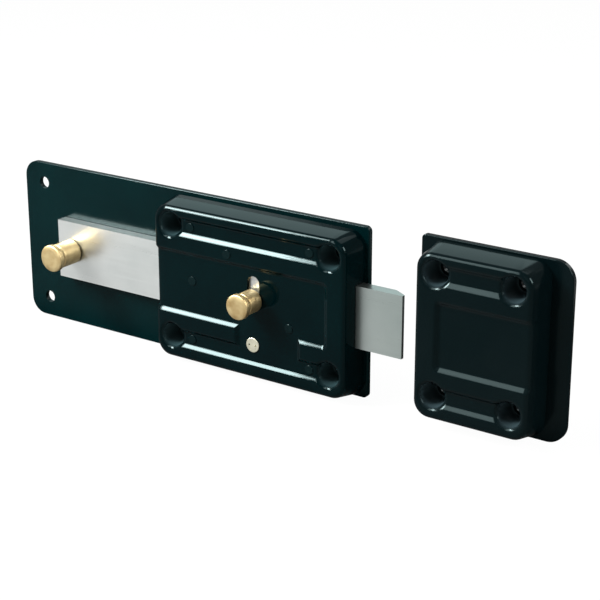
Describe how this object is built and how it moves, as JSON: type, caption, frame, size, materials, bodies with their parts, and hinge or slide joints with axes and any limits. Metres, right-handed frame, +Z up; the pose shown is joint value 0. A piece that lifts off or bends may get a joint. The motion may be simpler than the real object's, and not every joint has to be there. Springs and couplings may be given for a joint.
{
  "type": "gate lock",
  "caption": "Sliding-bolt gate lock: enamelled backplate and pressed cover, flat bolt with brass knobs, and a separate matching keeper box.",
  "frame": {"origin": "middle of the lock's mounting face, the rear of its backplate", "axes": "+X the way the bolt is thrown towards the keeper, -Y towards the viewer, +Y into the gate, +Z up"},
  "size_m": [0.3766, 0.0341, 0.1025],
  "materials": {
    "lock_enamel": "gloss",
    "keeper_enamel": "gloss",
    "zinc_plate": "satin",
    "spring_steel": "satin",
    "turned_brass": "polished"
  },
  "bodies": {
    "case": {"backplate": "lock_enamel", "case_cover": "lock_enamel", "guide_post_upper": "lock_enamel", "guide_post_lower": "lock_enamel", "spring_post": "lock_enamel", "spacer_posts": "lock_enamel", "bolt_staple_tail": "zinc_plate", "bolt_staple_nose": "zinc_plate", "staple_rivets": "zinc_plate", "screw_eyelets": "lock_enamel", "barrel_bush": "turned_brass", "detent_spring": "spring_steel", "keeper_plate": "keeper_enamel", "keeper_cover": "keeper_enamel"},
    "bolt": {"bolt_bar": "zinc_plate", "tail_knob": "turned_brass", "tail_knob_stud": "zinc_plate", "tail_knob_washer": "turned_brass"},
    "slide": {"locking_slide": "zinc_plate", "locking_tooth": "zinc_plate", "lock_knob": "turned_brass", "lock_knob_stud": "zinc_plate", "slot_plate": "zinc_plate"},
    "barrel": {"key_barrel": "turned_brass", "barrel_clip": "spring_steel", "barrel_crank": "zinc_plate", "crank_pin": "zinc_plate"}
  },
  "joints": [
    {"name": "bolt_throw", "type": "slide", "parent": "case", "child": "bolt", "axis": [1, 0, 0], "range_m": [-0.03, 0.06]},
    {"name": "lock_lift", "type": "slide", "parent": "case", "child": "slide", "axis": [0, 0, 1], "range_m": [0, 0.01]},
    {"name": "key_turn", "type": "hinge", "parent": "case", "child": "barrel", "pos_m": [0.0595, 0, -0.0279], "axis": [0, -1, 0], "range_deg": [0, 60]}
  ],
  "couplings": [
    {"joint": "key_turn", "follows": "lock_lift", "rad_per_m": 104.7}
  ]
}
